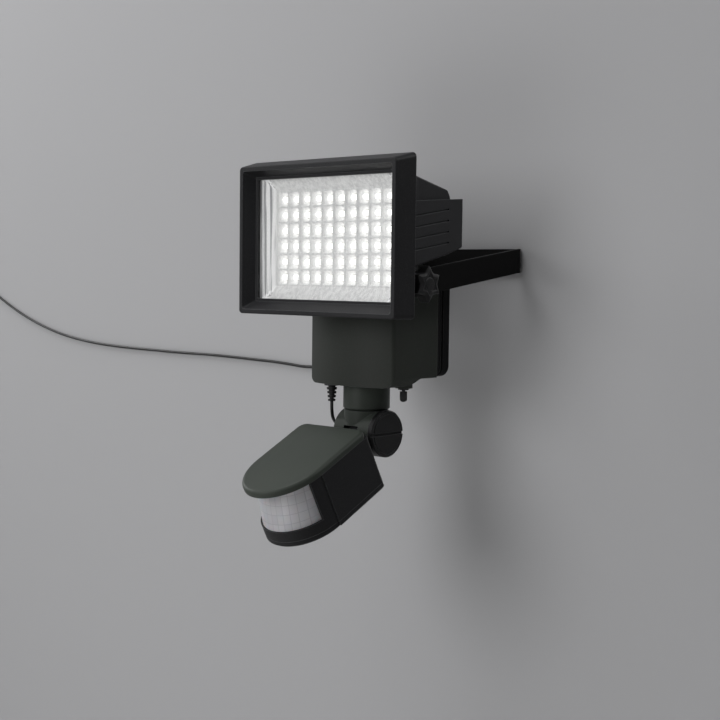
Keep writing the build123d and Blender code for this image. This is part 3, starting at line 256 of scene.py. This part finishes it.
# Seals, cord, boards and inner mouldings: plain colours that differ mostly in their gloss.
black_rubber = plain("moulded_rubber_black", "#141415", 0.72)
cord_pvc = plain("pvc_cord_black", "#0b0b0c", 0.42)
white_board = plain("white_solder_mask", "#dcdcd8", 0.45)
green_board = plain("green_solder_mask", "#1d5236", 0.38)
cell_sleeve = plain("pvc_cell_sleeve", "#2a6b45", 0.3)
black_nylon = plain("moulded_nylon_black", "#161617", 0.5)
dark_epoxy = plain("moulded_epoxy_black", "#1b1b1d", 0.35)
white_nylon = plain("moulded_nylon_white", "#e4e4e0", 0.45)


TRAY_HALF = 71.5
STEEP_BAND = 1.5
STREAK_WIDE = 2.6
STREAK_TALL = 90.0


def glossy_white_abs_painted_light():
    """The reflector's white ABS, moulded glossy, with light painted into it: tall bright and grey bands on
    its steep sides are painted reflections of the lit cups, the same bands are painted faintly elsewhere, and
    it glows a little though it is no lamp."""
    material, shader = new_material("glossy_white_abs_painted_light")
    where = add(material, "ShaderNodeTexCoord")
    tall = add(material, "ShaderNodeMapping", [(where.outputs["Object"], "Vector")])
    tall.inputs["Scale"].default_value = (per_mm(STREAK_WIDE), per_mm(STREAK_WIDE), per_mm(STREAK_TALL))
    streak = add(material, "ShaderNodeTexNoise", [(tall.outputs[0], "Vector")], in_Scale=1.0, in_Detail=2.0)
    # Faint painted bands, the same streaks, over the whole reflector.
    faint = ramp(material, streak.outputs["Fac"], [(0.35, linear("#cdcdcd")), (0.6, linear("#e2e2e1"))])
    # Painted reflection: tall bright and grey bands on the steep sides, for the lit cups that they mirror.
    painted_reflection_bands = ramp(material, streak.outputs["Fac"],
                  [(0.40, linear("#9a9a9c")), (0.47, linear("#eeeeee")), (0.54, linear("#ffffff"))])
    parts = add(material, "ShaderNodeSeparateXYZ", [(where.outputs["Object"], "Vector")])
    sideways = add(material, "ShaderNodeMath", [(parts.outputs["X"], 0)], operation="ABSOLUTE")
    steep = add(material, "ShaderNodeMapRange", [(sideways.outputs[0], "Value")],
                in_From_Min=TRAY_HALF * MM, in_From_Max=(TRAY_HALF + STEEP_BAND) * MM)
    tone = add(material, "ShaderNodeMix", data_type="RGBA")
    joined(material, steep, 0, tone, 0)
    joined(material, faint, "Color", tone, 6)
    joined(material, painted_reflection_bands, "Color", tone, 7)
    joined(material, tone, 2, shader, "Base Color")
    # Painted glow: the reflector gives off a little light of its own colour, though it is no lamp.
    joined(material, tone, 2, shader, "Emission Color")
    edge = soft_edge(material, 0.5)
    add(material, "ShaderNodeBump",
        [(streak.outputs["Fac"], "Height"), (edge.outputs[0], "Normal"), ("Normal", shader.inputs["Normal"])],
        in_Strength=0.35, in_Distance=0.25 * MM)
    set_shader(shader, Roughness=0.22, IOR=1.52, Emission_Strength=0.2)
    return material


def clear_polycarbonate():
    """Clear polycarbonate sheet: it is seen through, with a soft sheen of the room on it."""
    material, shader = new_material("clear_polycarbonate")
    where = add(material, "ShaderNodeTexCoord")
    wave = add(material, "ShaderNodeTexNoise", [(where.outputs["Object"], "Vector")],
               in_Scale=per_mm(30.0), in_Detail=1.0)
    gloss = ramp(material, wave.outputs["Fac"], [(0.3, grey(0.04)), (0.7, grey(0.09))])
    joined(material, gloss, "Color", shader, "Roughness")
    set_shader(shader, Base_Color=linear("#f4f6f7"), IOR=1.585, Alpha=0.10)
    return material


def led_resin():
    """Clear epoxy of a lit LED: the dome glows white, a little warmer at its rim."""
    material, shader = new_material("lit_epoxy_dome")
    facing = add(material, "ShaderNodeLayerWeight", in_Blend=0.4)
    glow = ramp(material, facing.outputs["Facing"], [(0.2, linear("#ffffff")), (0.9, linear("#f1ede4"))])
    joined(material, glow, "Color", shader, "Emission Color")
    set_shader(shader, Base_Color=linear("#f6f7f5"), Roughness=0.12, IOR=1.5, Emission_Strength=1.5)
    return material


FACET_HIGH = 8.0
FACET_WIDE = 6.0
HEAD_PITCH = math.radians(27.0)


def pressed_polyethylene():
    """White polyethylene film of a motion sensor: milky, with rows of pressed lens facets."""
    material, shader = new_material("pressed_polyethylene_white")
    where = add(material, "ShaderNodeTexCoord")
    level = add(material, "ShaderNodeMapping", [(where.outputs["Object"], "Vector")])
    level.inputs["Rotation"].default_value = (-HEAD_PITCH, 0, 0)
    parts = add(material, "ShaderNodeSeparateXYZ", [(level.outputs[0], "Vector")])
    flat = add(material, "ShaderNodeCombineXYZ", [(parts.outputs["X"], "X"), (parts.outputs["Z"], "Y")])
    facets = add(material, "ShaderNodeTexBrick", [(flat.outputs[0], "Vector")], offset=0.0,
                 in_Scale=1.0, in_Mortar_Size=0.3 * MM, in_Mortar_Smooth=0.6,
                 in_Brick_Width=FACET_WIDE * MM, in_Row_Height=FACET_HIGH * MM)
    facets.inputs["Color1"].default_value = linear("#c9c8cc")
    facets.inputs["Color2"].default_value = linear("#bebdc2")
    facets.inputs["Mortar"].default_value = linear("#adacb2")
    joined(material, facets, "Color", shader, "Base Color")
    add(material, "ShaderNodeBump", [(facets.outputs["Fac"], "Height"), ("Normal", shader.inputs["Normal"])],
        invert=True, in_Strength=0.4, in_Distance=0.2 * MM)
    set_shader(shader, Roughness=0.34, IOR=1.51, Subsurface_Weight=0.25, Subsurface_Scale=2 * MM)
    return material


reflector_white = glossy_white_abs_painted_light()
glass = clear_polycarbonate()
lit_resin = led_resin()
lens_white = pressed_polyethylene()

FINISHES = {
    housing_abs: ["lamp_housing"],
    box_abs: ["battery_box"],
    cover_abs: ["box_rear_cover"],
    bezel_abs: ["bezel"],
    sensor_abs: ["sensor_top_cover", "neck_collar", "knuckle"],
    lower_abs: ["sensor_body", "sensor_bottom_cover"],
    powder_coat: ["wall_bracket"],
    knob_nylon: ["right_side_knob", "left_side_knob", "tilt_screw", "time_dial", "light_dial", "range_dial"],
    zinc_steel: ["pivot_bolts", "steel_washers", "bezel_screws", "box_cover_screws", "battery_links",
                 "jack_nut", "plug_barrel", "tilt_nut", "sensor_screws", "pyro_sensor"],
    blackened_steel: ["switch_nut", "toggle_lever"],
    turned_brass: ["right_knob_insert", "left_knob_insert"],
    black_rubber: ["rubber_washers", "lens_gasket", "box_gasket", "toggle_boot", "plug_strain_relief",
                   "friction_washers"],
    cord_pvc: ["line_connector"],
    reflector_white: ["reflector"],
    white_board: ["led_board"],
    green_board: ["control_board", "sensor_board"],
    cell_sleeve: ["battery_cells"],
    black_nylon: ["battery_holder", "neck_retainer", "coil_tie"],
    dark_epoxy: ["board_components", "switch_body", "charging_jack", "potentiometers"],
    white_nylon: ["cable_clip"],
    glass: ["front_lens"],
    lit_resin: ["leds"],
    lens_white: ["sensor_lens"],
}


def finish_node(name, material):
    node = nodes[name]
    if not node.material_slots:
        node.data.materials.append(material)
    for place in node.material_slots:
        place.material = material


for finish, names in FINISHES.items():
    for part in names:
        finish_node(part, finish)


# Star knobs

ARM_FACE = 84.0
PIVOT_PLACE = (-151.0, -21.4)
WASHER_THICK = 1.2
HUB_RADIUS = 8.5
HUB_LENGTH = 5.0
HUB_BORE = 6.1
KNOB_RADIUS = 15.4
KNOB_THICK = 9.5
KNOB_LOBES = 6
KNOB_HOLLOW = 0.30
KNOB_CROWN = [(1.3, 0.86), (0.5, 0.80), (-0.7, 0.86)]
POINTS_PER_LOBE = 12
KNOB_EDGE = 0.7
CAP_RADIUS = 6.2
CAP_RISE = 1.5
CAP_SINK = 0.8
CAP_TAPER = 0.82
HUB_FLOOR = 0.4
ROUND_SIDES = 40
SAME_PLACE = 0.05
BEVEL_ANGLE = math.radians(35.0)
SMOOTH_ANGLE = math.radians(32.0)


def begin():
    """Leaves nothing selected, so that an operator acts only on what is added next."""
    if bpy.context.object and bpy.context.object.mode == "EDIT":
        bpy.ops.object.mode_set(mode="OBJECT")
    bpy.ops.object.select_all(action="DESELECT")


def choose(piece, kind, wanted):
    """In edit mode, selects the vertices, edges or faces that the test wants, and nothing else."""
    bpy.ops.mesh.select_all(action="DESELECT")
    bpy.ops.mesh.select_mode(type={"verts": "VERT", "edges": "EDGE", "faces": "FACE"}[kind])
    shape = bmesh.from_edit_mesh(piece.data)
    for item in getattr(shape, kind):
        if wanted(item):
            item.select_set(True)
    shape.select_flush_mode()
    bmesh.update_edit_mesh(piece.data)


def settle(piece, name, material):
    """Puts the piece's place into its mesh, points its faces outwards and names it."""
    bpy.ops.object.mode_set(mode="EDIT")
    bpy.ops.mesh.select_all(action="SELECT")
    bpy.ops.mesh.remove_doubles(threshold=0.01 * MM)
    bpy.ops.mesh.normals_make_consistent(inside=False)
    bpy.ops.object.mode_set(mode="OBJECT")
    bpy.ops.object.transform_apply(location=True, rotation=True, scale=True)
    piece.name = name
    piece.data.materials.append(material)


def bevelled(piece, width_mm, segments):
    edge = piece.modifiers.new("edge", "BEVEL")
    edge.width = width_mm * MM
    edge.segments = segments
    edge.limit_method = "ANGLE"
    edge.angle_limit = BEVEL_ANGLE
    bpy.ops.object.modifier_apply(modifier=edge.name)
    bpy.ops.object.shade_smooth_by_angle(angle=SMOOTH_ANGLE)


def lobe_step(vertex):
    """How many points a rim vertex lies from the nearest lobe's tip, or None on the axis."""
    across, up = vertex.co.y, vertex.co.x
    if math.hypot(across, up) < HUB_RADIUS * MM:
        return None
    turn = math.degrees(math.atan2(across, up)) % (360 / KNOB_LOBES)
    step = 360 / KNOB_LOBES / POINTS_PER_LOBE
    return round(min(turn, 360 / KNOB_LOBES - turn) / step)


def star_knob(side, name, node):
    """A moulded clamp knob: pointed lobes with deep hollows, a crowned face, a cap and a bored hub."""
    begin()
    back = side * (ARM_FACE + WASHER_THICK + HUB_LENGTH) * MM
    centre = Vector((back, PIVOT_PLACE[0] * MM, PIVOT_PLACE[1] * MM))
    bpy.ops.mesh.primitive_circle_add(vertices=KNOB_LOBES * POINTS_PER_LOBE, radius=KNOB_RADIUS * MM,
                                      fill_type="NGON", location=centre, rotation=(0, math.pi / 2, 0))
    knob = bpy.context.object
    bpy.ops.object.mode_set(mode="EDIT")
    half = POINTS_PER_LOBE // 2
    for step in range(1, half + 1):
        choose(knob, "verts", lambda v: lobe_step(v) == step)
        size = 1 - KNOB_HOLLOW * math.sin(math.pi / 2 * step / half)
        bpy.ops.transform.resize(value=(1, size, size), center_override=centre)
    bpy.ops.mesh.select_all(action="SELECT")
    bpy.ops.mesh.extrude_region_move(TRANSFORM_OT_translate={"value": (side * KNOB_THICK * MM, 0, 0)})
    for rise, size in KNOB_CROWN:
        bpy.ops.mesh.extrude_region_move(TRANSFORM_OT_translate={"value": (side * rise * MM, 0, 0)})
        bpy.ops.transform.resize(value=(1, size, size), center_override=centre)
    cap_place = centre + Vector((side * (KNOB_THICK + CAP_RISE / 2) * MM, 0, 0))
    bpy.ops.mesh.primitive_cylinder_add(vertices=ROUND_SIDES, radius=CAP_RADIUS * MM,
                                        depth=(CAP_RISE + CAP_SINK) * MM,
                                        location=cap_place, rotation=(0, math.pi / 2, 0))
    tip = cap_place.x + side * (CAP_RISE + CAP_SINK) / 2 * MM
    choose(knob, "verts", lambda v: abs((knob.matrix_world @ v.co).x - tip) < SAME_PLACE * MM)
    bpy.ops.transform.resize(value=(1, CAP_TAPER, CAP_TAPER), center_override=centre)
    hub_place = centre - Vector((side * HUB_LENGTH / 2 * MM, 0, 0))
    bpy.ops.mesh.primitive_cylinder_add(vertices=ROUND_SIDES, radius=HUB_RADIUS * MM, depth=HUB_LENGTH * MM,
                                        location=hub_place, rotation=(0, math.pi / 2, 0))
    foot = back - side * HUB_LENGTH * MM
    choose(knob, "faces",
           lambda f: abs((knob.matrix_world @ f.calc_center_median()).x - foot) < SAME_PLACE * MM)
    bpy.ops.mesh.inset(thickness=(HUB_RADIUS - HUB_BORE) * MM)
    bore = side * (HUB_LENGTH - HUB_FLOOR) * MM
    bpy.ops.mesh.extrude_region_move(TRANSFORM_OT_translate={"value": (bore, 0, 0)})
    settle(knob, name, knob_nylon)
    bevelled(knob, KNOB_EDGE, segments=3)
    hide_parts(node)
    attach(knob, "right_clamp" if side > 0 else "left_clamp")


star_knob(1, "right_star_knob", "right_side_knob")
star_knob(-1, "left_star_knob", "left_side_knob")


# Cord

CORD_DIAMETER = 3.0
CORD_SIDES = 12
STRIP_HALF = 11.0
TOUCH_GAP = 0.3
PLUG_PLACE = (-25.0, -138.0, -128.9)
COIL_TURNS = 4
COIL_LAYERS = 4
COIL_STEP = 3.8
COIL_LAYER_STEP = 4.2
COIL_MID_RADIUS = 21.0
COIL_WALL_GAP = 7.3
COIL_X = -82.5
COIL_OUTER = COIL_MID_RADIUS + COIL_STEP * (COIL_TURNS - 1) / 2
COIL_INNER = COIL_MID_RADIUS - COIL_STEP * (COIL_TURNS - 1) / 2
COIL_Z = STRIP_HALF - COIL_INNER + CORD_DIAMETER / 2 + TOUCH_GAP
COIL_FRONT = -COIL_WALL_GAP - COIL_LAYER_STEP * (COIL_LAYERS - 1)
COIL_POINTS_PER_HALF = 8
WALL_LINE = -1.6

PLUG_RUN = [
    PLUG_PLACE,
    (-25.0, -138.0, -137.5),
    (-28.0, -133.0, -146.5),
    (-32.8, -121.5, -152.5),
    (-32.8, -106.5, -154.5),
    (-31.0, -91.0, -151.5),
    (-38.0, -77.0, -142.0),
    (-48.0, -64.5, -126.0),
    (-56.0, -53.5, -104.5),
    (-61.0, -43.5, -81.5),
    (-63.0, -34.5, -59.5),
    (-61.0, -26.5, -42.0),
    (COIL_X + COIL_OUTER, COIL_FRONT, -26.0),
    (COIL_X + COIL_OUTER, COIL_FRONT, COIL_Z - CORD_DIAMETER),
]

WALL_RUN = [
    (COIL_X - COIL_OUTER, -COIL_WALL_GAP, COIL_Z - CORD_DIAMETER),
    (COIL_X - COIL_OUTER, -COIL_WALL_GAP, -22.5),
    (-112.5, -5.0, -43.0),
    (-120.5, WALL_LINE, -66.0),
    (-134.0, WALL_LINE, -89.0),
    (-156.0, WALL_LINE, -107.0),
    (-189.0, WALL_LINE, -114.6),
    (-237.0, WALL_LINE, -110.8),
    (-291.0, WALL_LINE, -109.6),
    (-346.0, WALL_LINE, -108.2),
    (-402.0, WALL_LINE, -108.6),
    (-459.0, WALL_LINE, -108.0),
    (-515.0, WALL_LINE, -107.3),
    (-567.0, WALL_LINE, -105.4),
    (-612.0, WALL_LINE, -101.7),
    (-656.0, WALL_LINE, -95.6),
    (-700.0, WALL_LINE, -86.0),
    (-744.0, WALL_LINE, -73.2),
    (-784.0, WALL_LINE, -57.8),
    (-812.0, WALL_LINE, -45.6),
    (-838.0, WALL_LINE, -35.8),
    (-856.0, -3.4, -30.4),
    (-868.0, -5.2, -27.6),
]


def coil_run():
    """The coil's turns: they spiral in and out again, a layer nearer the wall each time."""
    halves = 2 * COIL_TURNS - 2
    step = (COIL_OUTER - COIL_INNER) / halves
    ends = []
    for layer in range(COIL_LAYERS):
        for half in range(halves + 1):
            radius = COIL_OUTER - step * half if layer % 2 == 0 else COIL_INNER + step * half
            ends.append((radius, COIL_FRONT + COIL_LAYER_STEP * layer))
    points = []
    for number in range(len(ends) - 1):
        (r0, y0), (r1, y1) = ends[number], ends[number + 1]
        for k in range(COIL_POINTS_PER_HALF):
            part = k / COIL_POINTS_PER_HALF
            angle = math.pi * (number + part)
            radius = r0 + (r1 - r0) * part
            ease = (1 - math.cos(math.pi * part)) / 2
            points.append((COIL_X + radius * math.cos(angle), y0 + (y1 - y0) * ease,
                           COIL_Z + radius * math.sin(angle)))
    points.append((COIL_X - COIL_OUTER, -COIL_WALL_GAP, COIL_Z))
    return points


def in_metres(points):
    return [Vector(p) * MM for p in points]


def spline_line(points, name):
    """The smooth line that the route's points give, as closely spaced points along it."""
    curve = bpy.data.curves.new(name, "CURVE")
    curve.dimensions = "3D"
    spline = curve.splines.new("NURBS")
    spline.points.add(len(points) - 1)
    for place, point in zip(spline.points, points):
        place.co = (*point, 1)
    spline.order_u = 3
    spline.use_endpoint_u = True
    spline.resolution_u = 8
    holder = bpy.data.objects.new(name, curve)
    bpy.context.scene.collection.objects.link(holder)
    bpy.context.view_layer.update()
    mesh = bpy.data.meshes.new_from_object(holder.evaluated_get(bpy.context.evaluated_depsgraph_get()))
    line = [v.co.copy() for v in mesh.vertices]
    bpy.data.objects.remove(holder)
    bpy.data.curves.remove(curve)
    bpy.data.meshes.remove(mesh)
    return line


def tube_along(line, radius, sides, name):
    """A closed round tube along the line, its rings kept from twisting."""
    mesh = bmesh.new()
    tangent = (line[1] - line[0]).normalized()
    normal = tangent.orthogonal().normalized()
    rings = []
    for number, point in enumerate(line):
        before = line[max(number - 1, 0)]
        after = line[min(number + 1, len(line) - 1)]
        turned = (after - before).normalized()
        normal = (normal - turned * normal.dot(turned)).normalized()
        across = turned.cross(normal)
        ring = []
        for k in range(sides):
            angle = 2 * math.pi * k / sides
            spoke = normal * math.cos(angle) + across * math.sin(angle)
            ring.append(mesh.verts.new(point + spoke * radius))
        rings.append(ring)
    for first, second in zip(rings, rings[1:]):
        for k in range(sides):
            mesh.faces.new((first[k], first[(k + 1) % sides], second[(k + 1) % sides], second[k]))
    mesh.faces.new(list(reversed(rings[0])))
    mesh.faces.new(rings[-1])
    data = bpy.data.meshes.new(name)
    mesh.to_mesh(data)
    mesh.free()
    for face in data.polygons:
        face.use_smooth = len(face.vertices) == 4
    made = bpy.data.objects.new(name, data)
    bpy.context.scene.collection.objects.link(made)
    return made


def make_cord():
    route = in_metres(PLUG_RUN) + in_metres(coil_run()) + in_metres(WALL_RUN)
    line = spline_line(route, "cord_route")
    cord = tube_along(line, CORD_DIAMETER / 2 * MM, CORD_SIDES, "panel_cord")
    cord.data.materials.append(cord_pvc)
    length = sum((b - a).length for a, b in zip(line, line[1:]))
    print("cord length", round(length, 3))
    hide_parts("cord_plug_run", "cord_coil", "cord_wall_run")
    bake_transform(cord)


make_cord()


# Studio

STAGE_SIZE = 8.0
WALL_GAP = 0.0005
FLOOR_Z = -1.1
LAMP_MIDDLE = (0, -0.15, -0.05)


def stage_material(name, colour, one_sided=False):
    """Matt paint; one-sided paint is clear from behind, so that the lamp's back can be seen."""
    material, shader = new_material(name)
    set_shader(shader, Base_Color=linear(colour), Roughness=0.9)
    if one_sided:
        face = add(material, "ShaderNodeNewGeometry")
        clear = add(material, "ShaderNodeBsdfTransparent")
        mix = add(material, "ShaderNodeMixShader",
                  [(face.outputs["Backfacing"], 0), (shader.outputs[0], 1), (clear.outputs[0], 2)])
        out = material.node_tree.nodes["Material Output"]
        material.node_tree.links.new(mix.outputs[0], out.inputs["Surface"])
    return material


def make_stage():
    """A pale wall behind the bracket, seen from the front only, and a pale floor far below."""
    bpy.ops.object.select_all(action="DESELECT")
    bpy.ops.mesh.primitive_plane_add(size=STAGE_SIZE, location=(0, WALL_GAP, 0), rotation=(math.pi / 2, 0, 0))
    wall = bpy.context.object
    wall.name = "wall"
    wall.data.materials.append(stage_material("pale_wall", "#b4b4b6", one_sided=True))
    wall.visible_diffuse = False
    wall.visible_shadow = False
    bpy.ops.mesh.primitive_plane_add(size=STAGE_SIZE, location=(0, 0, FLOOR_Z))
    floor = bpy.context.object
    floor.name = "floor"
    floor.data.materials.append(stage_material("pale_floor", "#d6d6d5"))


make_stage()


def area_light(name, place, aim, size, power):
    """A round soft light of that diameter in metres and power in watts, turned to what it lights."""
    data = bpy.data.lights.new(name, "AREA")
    data.shape = "DISK"
    data.size = size
    data.energy = power
    lamp = bpy.data.objects.new(name, data)
    lamp.location = place
    lamp.rotation_euler = (Vector(aim) - Vector(place)).to_track_quat("-Z", "Y").to_euler()
    bpy.context.scene.collection.objects.link(lamp)


def make_lights():
    area_light("key", (-0.5, -2.3, 0.6), LAMP_MIDDLE, 1.4, 19)
    area_light("fill", (1.4, 0.8, 1.3), (0, -0.15, 0), 0.8, 11)
    area_light("left_side", (-2.0, -0.5, 0.7), LAMP_MIDDLE, 1.0, 12)
    area_light("sky", (-0.5, -0.9, 2.2), LAMP_MIDDLE, 1.6, 27)
    area_light("ground", (-0.2, -1.5, -1.0), LAMP_MIDDLE, 1.2, 5)
    area_light("back", (-0.6, 2.2, 0.6), (0, 0, -0.05), 1.4, 22)


def make_world():
    """A dim grey surround, which the camera, mirrored and transmitted rays see a little brighter."""
    world = bpy.data.worlds.new("studio")
    world.use_nodes = True
    tree = world.node_tree
    background = tree.nodes["Background"]
    background.inputs["Strength"].default_value = 0.5
    bright = tree.nodes.new("ShaderNodeBackground")
    bright.inputs["Color"].default_value = linear("#a9a9ab")
    path = tree.nodes.new("ShaderNodeLightPath")
    mirrored = tree.nodes.new("ShaderNodeMath")
    mirrored.operation = "MAXIMUM"
    tree.links.new(path.outputs["Is Glossy Ray"], mirrored.inputs[0])
    tree.links.new(path.outputs["Is Transmission Ray"], mirrored.inputs[1])
    any_view = tree.nodes.new("ShaderNodeMath")
    any_view.operation = "MAXIMUM"
    tree.links.new(path.outputs["Is Camera Ray"], any_view.inputs[0])
    tree.links.new(mirrored.outputs[0], any_view.inputs[1])
    seen = tree.nodes.new("ShaderNodeMixShader")
    tree.links.new(any_view.outputs[0], seen.inputs[0])
    tree.links.new(background.outputs[0], seen.inputs[1])
    tree.links.new(bright.outputs[0], seen.inputs[2])
    tree.links.new(seen.outputs[0], tree.nodes["World Output"].inputs["Surface"])
    bpy.context.scene.world = world


make_lights()
make_world()

bpy.context.scene.view_settings.view_transform = "Standard"
